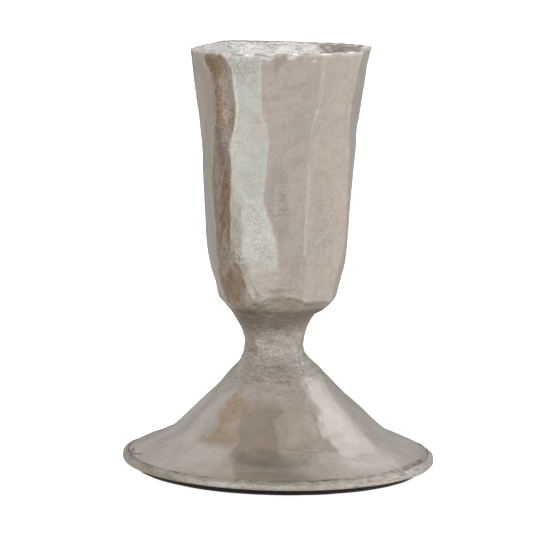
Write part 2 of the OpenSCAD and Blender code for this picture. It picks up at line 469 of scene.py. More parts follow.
def cup_light(on, broken):
    """Painted reflections and highlights on the side of the cup that faces the viewer, with some scratches.
    """
    return strongest(
        # Painted highlight along the ridge between two facets.
        (0.6 + 0.4 * broken) * on.streak([(22, 132), (22.3, 116), (22.4, 106), (22, 95)], 0.6),
        on.streaks([
            (0.4, [(16, 85), (15.5, 81.5)], 0.6),
            (0.5, [(-47, 176), (-44, 168)], 0.35), (0.4, [(-45, 171), (-41, 160)], 0.35),
            (0.5, [(-48, 163), (-42, 153)], 0.35), (0.4, [(-44, 157), (-38, 148)], 0.35),
            (0.4, [(-52, 160), (-47, 152)], 0.35), (0.5, [(-49, 148), (-46, 139)], 0.35),
            # Painted highlight on the ridge between the brown facet and the diamond flat.
            (0.7, [(-37, 91.5), (-50, 86), (-57, 83)], 0.5),
        ]),
        on.leaves([
            (0.32, [(-41, 172), (-30, 170), (-26, 156), (-29.5, 147), (-36, 134), (-42, 145),
                    (-40, 158)], 1.2),
            (0.5, [(-26, 89), (2, 89), (0, 80), (-12, 77), (-24, 79)], 2.2),
            (0.4, [(-31, 78), (-24, 72), (-44, 71.5), (-40, 76)], 0.5),
            (0.4, [(-27, 118), (-12, 118), (-4, 106), (1, 97), (1, 88.5), (-12, 85), (-25, 85), (-33, 91),
                   (-26, 99)], 1.1),
        ]),
        broken * on.streaks([
            (0.4, [(22, 93), (20, 87)], 0.7), (0.4, [(28, 171), (28, 164), (27, 156.5), (25.5, 150)], 0.9),
            (0.5, [(-37, 128), (-36.5, 105), (-37, 91)], 0.5),
            # Painted highlight just over the scalloped bottom edge.
            (0.5, [(-44, 72.3), (-23, 71.6), (-12, 73.6), (-1.5, 76.4), (12, 77.3), (20, 76.4), (31, 74.5),
                   (51, 73)], 0.6),
        ]),
        0.3 * broken * on.leaf([(-58, 158), (-53, 156), (-53, 140), (-57, 132)], 1.0),
        0.9 * cup_glints(on), 0.75 * cup_corner(on),
    )


def cup_dark(on, broken):
    """Painted dark reflections and shade on the side of the cup that faces the viewer, with a few dark
    marks.
    """
    return strongest(
        on.leaves([
            (0.22, [(-57, 102), (-48, 103), (-43, 92), (-51, 86.5), (-58, 89)], 1.2),
            (0.6, [(-52, 175), (-46, 175), (-41, 166), (-43, 158), (-46, 147), (-43, 136), (-40, 124),
                   (-44, 108), (-49, 97), (-53, 97), (-48, 110), (-46, 124), (-49, 136), (-52, 147),
                   (-49, 160), (-48, 168)], 1.0, 0.7),
            (0.2, [(-42.5, 134), (-38, 134), (-37.5, 98), (-41.5, 98)], 0.8),
            (0.45, [(-23.5, 81.5), (-17.5, 78.5), (-12, 76), (-18, 77), (-22, 79.5)], 0.4),
            (0.35, [(-5, 178), (-3, 168), (5.5, 178)], 1.0),
            (0.12, [(-37, 126), (-31.5, 121), (-27.5, 117), (-26, 110), (-25.5, 101), (-30, 97), (-37, 97)]),
            (0.18, [(-4, 134), (6, 130), (9, 112), (5, 93), (1, 98), (-4, 110), (-10, 119)], 1.5),
            (0.12, [(8, 91), (22, 90), (18, 84), (8, 86)], 1.5),
        ]),
        # Painted shadow lines under the scalloped bottom edge, and a short dark line high on the right.
        broken * on.streaks([
            (0.35, [(49, 172), (48, 164)], 0.5), (0.5, [(-12, 69.8), (7, 71.2), (22, 72)], 0.5),
            (0.5, [(-44, 71), (-23, 70.2), (-12, 72.2), (-1.5, 74.9), (12, 75.9), (20, 74.9), (31, 73.1),
                   (51, 71.4)], 0.6),
        ]),
        on.patches([
            (0.2, 1, 131, 5, 4), (0.2, 3, 111, 5, 5), (0.7, -45, 83.5, 2.6, 3.0), (0.35, -50, 79, 3, 3),
        ]),
    )


def cup_leaf(on):
    """Where the cup is painted lighter, darker or more ochre, each 0 to 1: in front painted reflections,
    highlights and shade, the ochre partly patina; further round, random patina.
    """
    broken = smooth_step(-0.6, 0.5, on.waves(83, LEAF_R, 2.2, 24))
    apart = smooth_step(70, 100, np.abs(on.angle))
    wild = ring_waves(84, LEAF_R, on.angle, 0.5 * on.z, 13)
    wild = wild + 0.35 * ring_waves(87, LEAF_R, on.angle, 0.6 * on.z, 4, 24)
    light = strongest(cup_light(on, broken), 0.35 * apart * smooth_step(0.7, 1.0, wild))
    dark = strongest(cup_dark(on, broken), 0.3 * apart * smooth_step(-0.7, -1.0, wild))
    ochre = strongest(on.patch(-45, 83.5, 3.0, 3.0), on.leaves([
        (0.4, [(-42.5, 130), (-38, 130), (-37.5, 98), (-41.5, 98)], 0.8),
        (0.5, [(-52, 176), (-40, 172), (-40, 147), (-51, 147)], 1.5),
        (0.3, [(-57, 166), (-60, 172), (-75, 172), (-72, 130), (-58, 120), (-58, 140)], 3.0),
        (0.25, [(-37, 90.5), (-29, 86.5), (-27, 83.5), (-33, 79), (-43, 73), (-58, 82)], 0.5),
    ]))
    return light, dark, ochre


def ring_shares():
    """Share of the cup's height for each ring, close together at the bottom and the lip."""
    middle = CUP_RINGS - LOW_RINGS - LIP_RINGS
    return np.concatenate([
        np.linspace(0, LOW_SHARE, LOW_RINGS, endpoint=False),
        np.linspace(LOW_SHARE, LIP_SHARE, middle, endpoint=False),
        np.linspace(LIP_SHARE, 1, LIP_RINGS),
    ])[:, None]


def lip_lengths(angle, lengths, soft):
    """1 along the given lengths of lip, fading over soft degrees each way."""
    return strongest(*(
        smooth_step(half + soft, half - soft, np.abs(wrap(angle - at))) for at, half in lengths
    ))


def cup_inside(angle, top, wall):
    """Rings of the crumpled inside from the lip down, and rings of the cup's floor."""
    t = np.radians(angle)
    share = 1 - np.linspace(0, 1, INNER_RINGS)[:, None] ** 1.5
    z = CUP_FLOOR + share * (top - CUP_FLOOR)
    r = blur_round(cup_outside(CUP_FLOOR + share * (RIM_Z - CUP_FLOOR), angle), 3) - wall
    x, y = r * np.sin(t), -r * np.cos(t)
    crumple = 0.32 * waves(5, x, y, z, 7) + 0.22 * waves(6, x, y, z, 3, 24)
    r = r + crumple * smooth_step(1.0, 0.97, share)
    floor_r = r[-1:] * np.linspace(1, 0.04, 10)[1:, None]
    floor_z = CUP_FLOOR + 0.12 * ring_waves(7, floor_r, angle, 0, 6)
    return ring_points(r, angle, z), ring_points(floor_r, angle, floor_z)


def cup_tags(on, height, rows, ridge, glints, lip_highlight):
    """The values each ring point carries. rows says where the outside, the lip and the inside start."""
    first, lip, bowl = rows
    z = height[first:lip]
    edge, inside, shade, light, ochre, specks = np.zeros((6, *height.shape))
    edge[first:lip] = ridge / RIDGE_FULL
    # Painted highlights: the lip, the spots under it and the bright corner are painted whiter and less
    # metallic, so the lamp lights them.
    edge[lip - 1:bowl] = 0.6
    inside[first:lip] = np.maximum(0.9 * glints, 0.3 * cup_corner(on))
    inside[lip - 1:bowl] = np.maximum(inside[lip - 1], 0.3 + 0.7 * lip_highlight)
    inside[bowl:] = 1
    light[first:lip], dark, ochre[first:lip] = cup_leaf(on)
    light[lip - 2:bowl] = 0.35 + 0.65 * lip_highlight
    # Painted shade under the bowl, darker down towards the neck.
    shade[first:lip] = np.maximum(0.75 * smooth_step(71.5, 68.5, z), dark)
    # A painted dark line of shade just under the lip.
    shade[lip:lip + 2] = 0.45 * lip_lengths(on.angle, LIP_DARK, 1) * (1 - lip_highlight)
    # A painted dark reflection high on the far inside wall.
    ragged = 1.2 * ring_waves(14, MOUTH_R, on.angle, height[bowl:], 9, 24)
    brown = smooth_step(19, 14, np.abs(wrap(on.angle - DARK_REFLECTION_INSIDE)) + ragged)
    shade[bowl:] = 0.8 * smooth_step(145, 166, height[bowl:]) * brown
    crinkled = 1.3 + 0 * height
    crinkled[first:lip] = cup_crinkles(Surface(on.angle, z))
    crinkled[lip - 1:bowl - 1] = 0.4
    dull = smooth_step(71.5, 68.5, height)
    dull[lip - 1:] = 1
    specks[bowl:] = 0.3 + 0.5 * np.exp(-(wrap(on.angle - PITTED_INSIDE) / 12) ** 2)
    return {"edge": edge, "inside": inside, "shade": shade, "dull": dull, "crinkled": crinkled,
            "light": light, "ochre": ochre, "specks": specks}


def cup():
    angle = round_angles(CUP_SIDES)
    brim = Surface(angle, 0)
    sway = 0.05 + 0.08 * smooth_step(110, 70, np.abs(angle))
    top = RIM_Z - LIP_ROUND + smooth_path(LIP_RISE, angle)
    top = top + sway * brim.waves(11, MOUTH_R, 5, 20)
    share = ring_shares()
    z = CUP_LOW + share * (top - CUP_LOW)
    on = Surface(angle, CUP_LOW + share * (RIM_Z - CUP_LOW))
    glints = cup_glints(on)
    # The lip's painted highlight, broken into lengths; it also swells the metal a little.
    highlight_gaps = smooth_step(-0.9, 0.1, brim.waves(13, MOUTH_R, 2.4, 24))
    lip_highlight = lip_lengths(angle, LIP_HIGHLIGHTS, 1.5) * highlight_gaps
    outer = cup_outside(on.z, angle)
    ridge = outer - blur_up(blur_round(outer, 1.6), 1.2)
    outer = outer + hammering(outer, angle, z)
    outer = outer + 0.3 * lip_highlight * smooth_step(0.985, 1.0, share) + 0.25 * glints

    wall = CUP_WALL + 0.2 * brim.waves(12, MOUTH_R, 9, 20)
    turn = np.radians(np.linspace(0, 180, 9))[1:-1, None]
    burr = 0.085 * brim.waves(8, MOUTH_R, 2.4, 24)
    lip_r = outer[-1:] - wall / 2 + wall / 2 * np.cos(turn)
    lip_z = z[-1:] + (LIP_ROUND + burr) * np.sin(turn)
    under_r = outer[:1] * np.linspace(0.05, 1, 5, endpoint=False)[:, None]
    rings = np.concatenate([
        ring_points(under_r, angle, CUP_LOW + 0 * under_r), ring_points(outer, angle, z),
        ring_points(lip_r, angle, lip_z), *cup_inside(angle, top, wall),
    ])

    first = len(under_r)
    lip = first + len(outer)
    rows = first, lip, lip + len(lip_r)
    tags = cup_tags(on, rings[:, :, 2], rows, ridge, glints, lip_highlight)
    return turned("cup_shell", rings, "cup", tags)


# ---------------- the stem

# Radius of the neck by height, from the foot up under the cup.
NECK_RADIUS = [
    (48.5, 13.3), (49.5, 12.85), (50.5, 12.6), (52, 12.45), (54, 12.55), (57, 13.05), (60, 14.1),
    (62.5, 15.35), (64.5, 16.5), (66, 17.5), (68, 18.9), (70, 20.1), (73, 21.2),
]
STEM_SIDES = 256
STEM_RINGS = 60


def neck_radius(z):
    return smooth_path(NECK_RADIUS, z)


def stem():
    angle = round_angles(STEM_SIDES)
    z = np.linspace(STEM_LOW, CUP_LOW, STEM_RINGS)[:, None] + 0 * angle
    r = neck_radius(z)
    r = r + hammering(r, angle, z)
    ends = np.linspace(0.05, 1, 5, endpoint=False)[:, None]
    rings = np.concatenate([
        ring_points(r[:1] * ends, angle, STEM_LOW + 0 * ends * angle),
        ring_points(r, angle, z),
        ring_points(r[-1:] * ends[::-1], angle, CUP_LOW + 0 * ends * angle),
    ])
    height = rings[:, :, 2]
    light, dark, _ = foot_leaf(Surface(angle, height))
    # Painted shade at the top of the neck under the bowl, then the foot's painted reflections and shade.
    tags = {"shade": np.maximum(0.66 * smooth_step(57, 64, height), dark), "light": light,
            "dull": smooth_step(44, 54, height), "crinkled": 1 + 0 * height}
    return turned("stem_body", rings, "stem", tags)


# ---------------- the foot

# Height of the foot's outside by radius.
FOOT_RISE = [
    (63.4, 6.45), (61.5, 7.6), (59.5, 8.8), (57.5, 9.9), (54.8, 11.0), (51.0, 12.3), (47.8, 13.9),
    (43.6, 17), (40.5, 20), (34.4, 26), (28.1, 32), (22.6, 38), (18.7, 42), (16.85, 44), (15.0, 46),
    (13.95, 47.5), (13.3, 48.5),
]
# Small bumps left by the hammer: how far each stands up, angle and height.
FOOT_BUMPS = [
    (0.3, 2, 34), (0.35, 31, 18), (0.3, 29, 26.5), (0.25, -34, 11), (0.25, 48, 14), (-0.25, 12, 31),
]
# Broad hollows and swellings: how far each stands up, angle, height, half-angle and half-height.
FOOT_HOLLOWS = [
    (-0.3, 0, 10.6, 40, 1.9), (-0.8, -116, 10.3, 16, 1.0), (-0.3, -106, 14.5, 14, 1.2),
    (-0.5, 118, 11.2, 14, 1.0), (0.25, 112, 8.4, 14, 0.8),
]
SCRATCH = [(1, 16.4), (9, 16), (20, 15.6)]  # one long scratch across the foot: angle and height
FOOT_WALL = 1.9
FOOT_LAND = 2.4  # flat underside of the skin's edge
FOOT_SOCKET = 3.0  # how far the skin's hollow stops below the foot's top
SLANT = 1.35  # upright thickness of the skin for each millimetre of wall
TOP_SINK = 0.9  # how far the skin's top dips where the stem hides it
FOOT_SIDES = 448
FOOT_RINGS = 130
FOOT_LEAF_R = 40  # radius at which the foot's leaf is worked out


def foot_crinkles(on):
    """How crinkled the leaf is: strongly near the neck, and in a few patches lower down."""
    wild = on.waves(72, 36, 26)
    return 0.10 + 0.9 * strongest(
        smooth_step(34, 43, on.z + 2.5 * wild), 0.35 * smooth_step(0.8, 1.8, wild),
        on.patches([(0.7, -5, 36, 28, 5), (0.35, 10, 10, 30, 4)]),
    )


def foot_light(on, broken):
    """Painted reflections and highlights on the side of the foot that faces the viewer, with painted
    highlights on the scratch and on bumps.
    """
    return strongest(
        on.leaves([
            (0.5, [(33, 13), (29, 18), (27, 21), (27.5, 25.5), (34.5, 29.5), (33.5, 34), (35, 41),
                   (62, 40), (55.5, 32.5), (56.5, 26), (62, 21), (59, 17), (59.5, 12)], 0.35, 0.6),
            (0.4, [(30, 13), (60, 12), (56, 8.5), (22, 8.5)], 1.5),
            (0.22, [(1, 16), (16, 15), (18, 9), (4, 9.5)], 1.0),
            (0.25, [(-45, 14.5), (-25, 15.5), (-20, 12), (-18, 7.5), (-46, 7.5)], 1.0),
            (0.12, [(-41, 15.5), (-47, 17), (-42, 23), (-46, 28), (-41, 35), (-31, 32), (-25, 17)]),
            (0.22, [(-18, 42), (12, 42), (10, 31), (-14, 31)], 1.5),
            (0.22, [(62, 14), (60, 40), (95, 40), (95, 8), (66, 8)], 2.0),
            (0.12, [(-52, 16), (-48, 34), (-62, 34), (-68, 16)], 1.5),
        ]),
        0.32 * smooth_step(34, 24, on.z) * on.leaf([(8, 34), (5, 17), (24, 19.5), (26, 25.5), (22, 34)]),
        0.32 * broken * on.leaf([(-12, 51), (8, 53), (60, 53), (64, 46), (24, 45), (-18, 45.5)], 1.0),
        0.5 * broken * on.streak(SCRATCH, 0.5),
        # Painted highlights on two of the hammer's bumps and low in front.
        on.patches([(0.3, 0, 11.3, 16, 0.7), (0.5, 31, 18, 1.6, 0.8), (0.4, 2, 34, 1.6, 0.8),
                    (0.4, 0, 11.5, 2.2, 0.5)]),
    )


def foot_dark(on, broken):
    """Painted dark reflections and shade on the side of the foot that faces the viewer, painted shade along
    the scratch, and dark marks low down.
    """
    middle = on.leaf([
        (-33, 37), (-30, 31), (-26.5, 24.5), (-23.5, 17), (-25, 13), (-19, 11.5), (-5, 10.5), (2, 13),
        (1.5, 16.5), (-1.5, 22), (-1.5, 26), (5, 29), (0, 34), (-14, 37),
    ])
    return strongest(
        0.42 * smooth_step(37, 25, on.z) * middle,
        on.leaves([
            (0.15, [(-17, 6), (-20, 12), (-9, 14), (2, 12), (4, 9.5), (12, 8.6), (15, 6)], 0.8),
            (0.42, [(-16.5, 6), (-18, 8.8), (-6, 9.4), (11, 8.6), (14, 7.2), (9, 6)], 0.8),
            (0.22, [(-62, 52), (-20, 52), (-18, 38), (-60, 33)], 2.5),
        ]),
        0.6 * on.patch(-9, 23, 4, 2.2), 0.4 * broken * on.patch(-14, 19, 8, 5),
        broken * on.streaks([
            (0.3, [(1, 16), (20, 15.2)], 0.5), (0.5, [(57, 7.3), (66, 7.6), (74, 7.3), (82, 7.6)], 0.3),
        ]),
        on.streak([(-84, 6.6), (-79, 6.7), (-75, 7.0), (-71, 8.0)], 0.5),
        on.streak([(-85, 7.3), (-80, 7.3)], 0.45),
    )


def foot_leaf(on):
    """Where the foot is painted lighter, darker or more ochre, each 0 to 1: in front painted reflections and
    shade; further round, random patina.
    """
    broken = smooth_step(-0.6, 0.5, on.waves(85, FOOT_LEAF_R, 2.4, 24))
    apart = smooth_step(62, 80, np.abs(on.angle))
    wild = on.waves(86, FOOT_LEAF_R, 13) + 0.35 * on.waves(88, FOOT_LEAF_R, 4, 24)
    # The tan patch: partly patina, partly a painted reflection.
    tan = on.leaf([
        (-41, 15.5), (-47, 16.5), (-42, 18.5), (-41.5, 23), (-45.5, 24.5), (-50, 28), (-41, 29), (-49.5, 31),
        (-41, 35), (-38, 34.5), (-31, 32), (-27, 25), (-24.5, 17.5),
    ], 0.4)
    light = strongest(foot_light(on, broken), 0.45 * apart * smooth_step(0.6, 0.85, wild))
    dark = strongest(foot_dark(on, broken), 0.3 * apart * smooth_step(-0.6, -0.85, wild), 0.08 * tan)
    return light, dark, 0.33 * tan


def foot_outside(angle, gap):
    """Rings of the foot's outside from the edge up, with the hand work and the hammer's bumps."""
    t = np.radians(angle)
    top_r = FOOT_RISE[-1][0]
    r = np.linspace(SKIN_R, top_r, FOOT_RINGS)[:, None] + 0 * angle
    z = smooth_path(FOOT_RISE, r)
    x, y = r * np.sin(t), -r * np.cos(t)
    on = Surface(angle, z)
    calm = smooth_step(SKIN_R, SKIN_R - 9, r)
    dents = 0.22 * waves(31, x, y, z, 18) + 0.10 * waves(32, x, y, z, 8, 20)
    low_down = smooth_step(top_r, top_r + 6, r)
    relief = hammering(r, angle, z)
    bumps = sum(high * on.patch(at, level, 2.0, 1.1) for high, at, level in FOOT_BUMPS)
    bumps = bumps + sum(high * on.patch(*place) for high, *place in FOOT_HOLLOWS)
    z_out = z + (dents * calm + 1.2 * relief * (0.3 + 0.7 * calm)) * low_down
    z_out = z_out + bumps + 0.12 * on.streak(SCRATCH, 0.7)
    r_out = r + relief * (1 - low_down)
    r_out[:1] -= gap
    return r_out, z_out


def foot():
    angle = round_angles(FOOT_SIDES)
    gap = 0.08 * smooth_step(-0.3, 1.2, ring_waves(34, 60, angle, 0, 6, 24))
    r_out, z_out = foot_outside(angle, gap)
    edge_share = np.linspace(0.8, 0, 4, endpoint=False)[::-1, None]
    edge_z = z_out[:1] * edge_share + SKIN_LOW * (1 - edge_share)
    land_r = SKIN_R - FOOT_LAND
    socket_z = FOOT_TOP - FOOT_SOCKET
    inner_r = np.linspace(FOOT_RISE[-1][0], land_r, 30)[:, None] + 0 * angle
    inner_z = np.minimum(smooth_path(FOOT_RISE, inner_r) - FOOT_WALL * SLANT, socket_z)
    rings = np.concatenate([
        ring_points(inner_r[:1] * 0.36, angle, socket_z + 0 * angle),
        ring_points(inner_r, angle, inner_z),
        ring_points(land_r + 0 * angle, angle, SKIN_LOW + 0 * angle),
        ring_points(SKIN_R - gap + 0 * edge_z, angle, edge_z),
        ring_points(r_out, angle, z_out),
        ring_points(r_out[-1:] * 0.93, angle, z_out[-1:] - TOP_SINK),
        ring_points(r_out[-1:] * 0.3, angle, z_out[-1:] - TOP_SINK),
    ])
    height = rings[:, :, 2]
    on = Surface(angle, height)
    joint = smooth_step(SKIN_R - 0.7, SKIN_R, np.hypot(rings[:, :, 0], rings[:, :, 1]))
    inside = np.zeros(height.shape)
    inside[:len(inner_r) + 2] = 1
    dull = np.maximum(smooth_step(44, 54, height), 0.9 * smooth_step(15.5, 12.5, height))
    light, shade, ochre = foot_leaf(on)
    tags = {"inside": inside, "shade": shade, "joint": joint, "dull": dull, "crinkled": foot_crinkles(on),
            "light": light, "ochre": ochre}
    return turned("foot_skin", rings, "foot", tags)


# ---------------- the edge band

BAND_SIDES = 512
BAND_MID_R = 62  # radius at which the band's unevenness is worked out
JOINT_GAP = 0.1  # between the band and the skin


def band_outline(joint_r):
    """The band's section: out along the underside, up the outside and in over the joint and recess."""
    low, top = BAND_LOW, BAND_TOP
    return [
        (joint_r - 4.2, low), (FOOT_R - 0.7, low), (FOOT_R - 0.25, low + 0.1), (FOOT_R, low + 0.4),
        (FOOT_R, low + 1.2), (FOOT_R - 0.05, low + 2.0), (FOOT_R - 0.25, low + 2.45),
        (FOOT_R - 0.7, low + 2.8), (FOOT_R - 1.5, top - 0.3), (joint_r + 0.55, top - 0.02),
        (joint_r + 0.2, top), (joint_r, top - 0.3), (joint_r, top - 1.2), (joint_r - 4.2, top - 1.3),
    ]


def band():
    """Edge band of the foot, with the broken line of its joint to the skin."""
    angle = round_angles(BAND_SIDES)
    on = Surface(angle, 0)
    joint_r = SKIN_R + JOINT_GAP
    lump = 0.12 * on.waves(41, BAND_MID_R, 9) + 0.07 * on.waves(42, BAND_MID_R, 3.5, 24)
    rings = []
    for r, z in band_outline(joint_r):
        sway = lump * smooth_step(BAND_LOW, BAND_LOW + 1.2, z)
        rings.append(ring_points(r + 0.7 * sway, angle, z + sway * (1 if r > joint_r + 0.1 else 0.2)))
    rings = np.stack([ring[0] for ring in rings])
    across = np.hypot(rings[:, :, 0], rings[:, :, 1])
    joint = smooth_step(joint_r + 0.55, joint_r + 0.2, across)
    joint = joint * (1 - 0.5 * smooth_step(-55, -80, angle))
    # Painted highlight on the band's outside, weaker in front and stronger on the right; the streaks follow
    # it.
    band_highlight = 0.6 - 0.45 * on.patch(-3, 0, 18, 1) + 0.55 * on.patch(58, 0, 26, 1)
    light = band_highlight * smooth_step(FOOT_R - 1.6, FOOT_R - 0.5, across)
    wild = on.waves(43, BAND_MID_R, 4, 24)
    # Darker in random spots, most at the sides, and in a patch on the left.
    darkened = smooth_step(0.4, 1.0, wild) * np.maximum(smooth_step(75, 95, np.abs(angle)), 0.3)
    darkened = darkened + (0.3 + 0.4 * smooth_step(-0.5, 0.8, wild)) * on.patch(-57, 0, 15, 1)
    shade = 0.7 * darkened * smooth_step(BAND_LOW + 1.6, BAND_LOW + 2.6, rings[:, :, 2])
    tags = {"joint": joint, "light": light, "streaked": light, "shade": shade,
            "dull": 1 + 0 * joint, "crinkled": 0.8 + 0 * joint, "specks": 0.35 * (1 - joint)}
    tags = {tag: values.reshape(-1) for tag, values in tags.items()}
    faces = ring_faces(len(rings), BAND_SIDES, True)
    return new_piece("edge_band", rings.reshape(-1, 3), faces, "foot_rim", tags)


# ---------------- the felt pad

PAD_SIDES = 320


def felt_pad():
    """A felt disc, cut by hand, its edge a little rounded and fuzzy."""
    angle = round_angles(PAD_SIDES)
    wobble = 0.12 * ring_waves(51, 40, angle, 0, 5, 24)
    outline = [
        (0.03, 0), (0.3, 0), (0.6, 0), (0.9, 0), (0.975, 0), (0.99, 0.12), (0.996, 0.5), (1, 1.2),
        (1, PAD_H - 1.0), (0.997, PAD_H - 0.35), (0.99, PAD_H - 0.05), (0.97, PAD_H), (0.6, PAD_H),
        (0.03, PAD_H),
    ]
    rings = [
        ring_points(PAD_R * share + wobble * smooth_step(0.9, 1, share), angle, z + 0 * angle)
        for share, z in outline
    ]
    piece = turned("felt_disc", np.concatenate(rings), "felt_pad", {})
    return piece


# ---------------- materials

class NodeTree:
    """Short calls for building a node tree."""

    def __init__(self, tree):
        self.tree = tree

    def link(self, value, socket):
        if hasattr(value, "is_output"):
            self.tree.links.new(value, socket)
        else:
            socket.default_value = value

    def node(self, kind, **inputs):
        """A new node. Each input is named with _ for a space, and one that is None is left alone."""
        node = self.tree.nodes.new("ShaderNode" + kind)
        for name, value in inputs.items():
            if value is not None:
                self.link(value, node.inputs[name.replace("_", " ")])
        return node

    def math(self, operation, a, b=0.0, clamp=False):
        node = self.node("Math")
        node.operation = operation
        node.use_clamp = clamp
        self.link(a, node.inputs[0])
        self.link(b, node.inputs[1])
        return node.outputs[0]

    def times(self, a, b):
        return self.math("MULTIPLY", a, b)

    def remap(self, value, low, high, to_low=0.0, to_high=1.0):
        node = self.node("MapRange", Value=value, From_Min=low, From_Max=high, To_Min=to_low, To_Max=to_high)
        node.interpolation_type = "SMOOTHSTEP"
        return node.outputs["Result"]

    def mix(self, share, a, b):
        node = self.node("Mix")
        node.data_type = "RGBA"
        self.link(share, node.inputs["Factor"])
        self.link(a, node.inputs["A"])
        self.link(b, node.inputs["B"])
        return node.outputs["Result"]


class Material(NodeTree):
    """A material whose colour and relief are laid on layer by layer."""

    def __init__(self, name):
        self.material = bpy.data.materials.new(name)
        self.material.use_nodes = True
        super().__init__(self.material.node_tree)
        self.shader = self.tree.nodes["Principled BSDF"]
        self.object_place = self.node("TexCoord").outputs["Object"]
        self.color = None
        self.normal = None

    def stretch(self, scale):
        return self.node("Mapping", Vector=self.object_place, Scale=scale).outputs[0]

    def noise(self, size_mm, detail=3.0, roughness=0.5, place=None, distortion=0.0):
        return self.node("TexNoise", Vector=place or self.object_place, Scale=1 / (size_mm * MM),
                         Detail=detail, Roughness=roughness, Distortion=distortion).outputs["Fac"]

    def cells(self, size_mm):
        node = self.node("TexVoronoi", Vector=self.object_place, Scale=1 / (size_mm * MM))
        return node.outputs["Distance"]

    def tag(self, name):
        """The values of this name that the piece carries."""
        node = self.node("Attribute")
        node.attribute_name = name
        return node.outputs["Fac"]

    def paint(self, share, red, green, blue):
        """Lays an sRGB colour over the colour so far."""
        self.color = self.mix(share, self.color, rgb(red, green, blue))

    def bump(self, height, strength, distance_mm):
        node = self.node("Bump", Strength=strength, Distance=distance_mm * MM, Height=height,
                         Normal=self.normal)
        self.normal = node.outputs["Normal"]

    def finish(self, roughness):
        self.link(self.color, self.shader.inputs["Base Color"])
        self.link(roughness, self.shader.inputs["Roughness"])
        self.link(self.normal, self.shader.inputs["Normal"])
        return self.material


def rgb(red, green, blue):
    """An sRGB colour from 0 to 255 as the linear colour that the shaders take."""
    line = [c / 255 for c in (red, green, blue)]
    line = [c / 12.92 if c <= 0.04045 else ((c + 0.055) / 1.055) ** 2.4 for c in line]
    return (*line, 1.0)


def paint_leaf(n, shade):
    """The leaf's warm greys, then the painted reflections, highlights and shade that the mesh carries, and
    ochre that is partly patina.
    """
    n.color = rgb(224, 217, 211)
    cloud = n.remap(n.noise(30, 4, 0.55), 0.35, 0.65)
    n.paint(cloud, 217, 215, 209)
    stain = n.remap(n.noise(14, 6, 0.65, distortion=0.5), 0.55, 0.75, 0, 0.35)
    n.paint(stain, 196, 186, 173)
    mottle = n.remap(n.noise(4.5, 5, 0.7, distortion=0.6), 0.44, 0.62, 0, 0.28)
    n.paint(mottle, 190, 179, 167)
    speckle = n.remap(n.noise(0.9, 3, 0.7), 0.50, 0.68, 0, 0.3)
    n.paint(speckle, 176, 165, 152)
    # Painted reflections and highlights.
    n.paint(n.tag("light"), 247, 243, 237)
    # Painted shade and dark reflections, with some darker patina.
    n.paint(n.times(shade, 0.85), 142, 130, 119)
    n.paint(n.tag("ochre"), 206, 176, 142)


def paint_wrinkles(n, shade, crinkled, deep, fold, ripple):
    """Dark lines where the leaf is crinkled, painted shade and highlight on its folds, painted glints, and
    brushed marks where the shade tag is.
    """
    n.paint(n.times(n.remap(fold, 0.03, 0.0, 0, 0.26), crinkled), 130, 123, 112)
    # Painted shade and highlight on the two sides of the folds.
    n.paint(n.times(n.remap(ripple, 0.46, 0.36, 0, 0.35), deep), 130, 120, 108)
    n.paint(n.times(n.remap(ripple, 0.55, 0.65, 0, 0.4), deep), 247, 243, 237)
    bright = n.times(crinkled, n.math("SUBTRACT", 1.0, shade, clamp=True))
    # Painted glints in the crinkles, none in the shade.
    glints = n.times(n.remap(n.noise(1.3, 4, 0.65, distortion=0.8), 0.6, 0.7, 0, 0.6), bright)
    n.paint(glints, 250, 247, 243)
    brushed = n.remap(n.noise(1.5, 3, 0.6, place=n.stretch((0.5, 0.5, 1.6)), distortion=0.5), 0.45, 0.65)
    n.paint(n.times(n.times(brushed, shade), 0.3), 196, 184, 172)


def paint_wear(n, edge, inside, shade):
    """Facet edges burnished and given a painted highlight, bare silver inside and white where the lip's
    painted highlights lie, pits, streaks and the dark joint line.
    """
    wear_and_highlight = n.remap(n.noise(3.5, 4, 0.7), 0.40, 0.58, 0.05, 0.85)
    n.paint(n.times(n.remap(edge, 0.45, 1.3), wear_and_highlight), 246, 243, 237)
    n.paint(n.remap(edge, -0.5, -1.5, 0, 0.35), 148, 136, 122)
    # Bare silver inside, and white where the lip's painted highlights lie.
    n.paint(n.times(inside, n.math("SUBTRACT", 0.9, shade)), 252, 251, 249)
    pocks = n.remap(n.noise(1.5, 3, 0.6, distortion=1.2), 0.55, 0.64, 0, 0.75)
    n.paint(n.times(pocks, n.tag("specks")), 128, 120, 110)
    streaks = n.remap(n.noise(1.3, 3, 0.6, place=n.stretch((0.2, 0.2, 1.6))), 0.5, 0.38, 0, 0.5)
    n.paint(n.times(streaks, n.tag("streaked")), 150, 138, 124)
    broken = n.remap(n.noise(12, 6, 0.75), 0.44, 0.60, 0.08, 0.8)
    n.paint(n.times(n.tag("joint"), broken), 108, 92, 78)


def metal_relief(n, crinkled, deep, crinkle, fold, ripple):
    """Relief too fine for the mesh: lumps, crinkles, creases, scratches and pits."""
    broad = n.noise(6.0, 4, 0.55, distortion=0.4)
    scratch = n.noise(2.2, 3, 0.6, place=n.stretch((0.3, 0.3, 1.8)))
    pits = n.remap(n.cells(3.4), 0.0, 0.12)
    n.bump(broad, 0.3, 0.4)
    n.bump(n.times(crinkle, crinkled), 1.0, 0.32)
    crease = n.times(n.remap(fold, 0.0, 0.05), crinkled)
    n.bump(crease, 0.6, 0.2)
    n.bump(n.times(ripple, deep), 0.9, 0.45)
    n.bump(scratch, 0.2, 0.12)
    n.bump(pits, 0.3, 0.2)


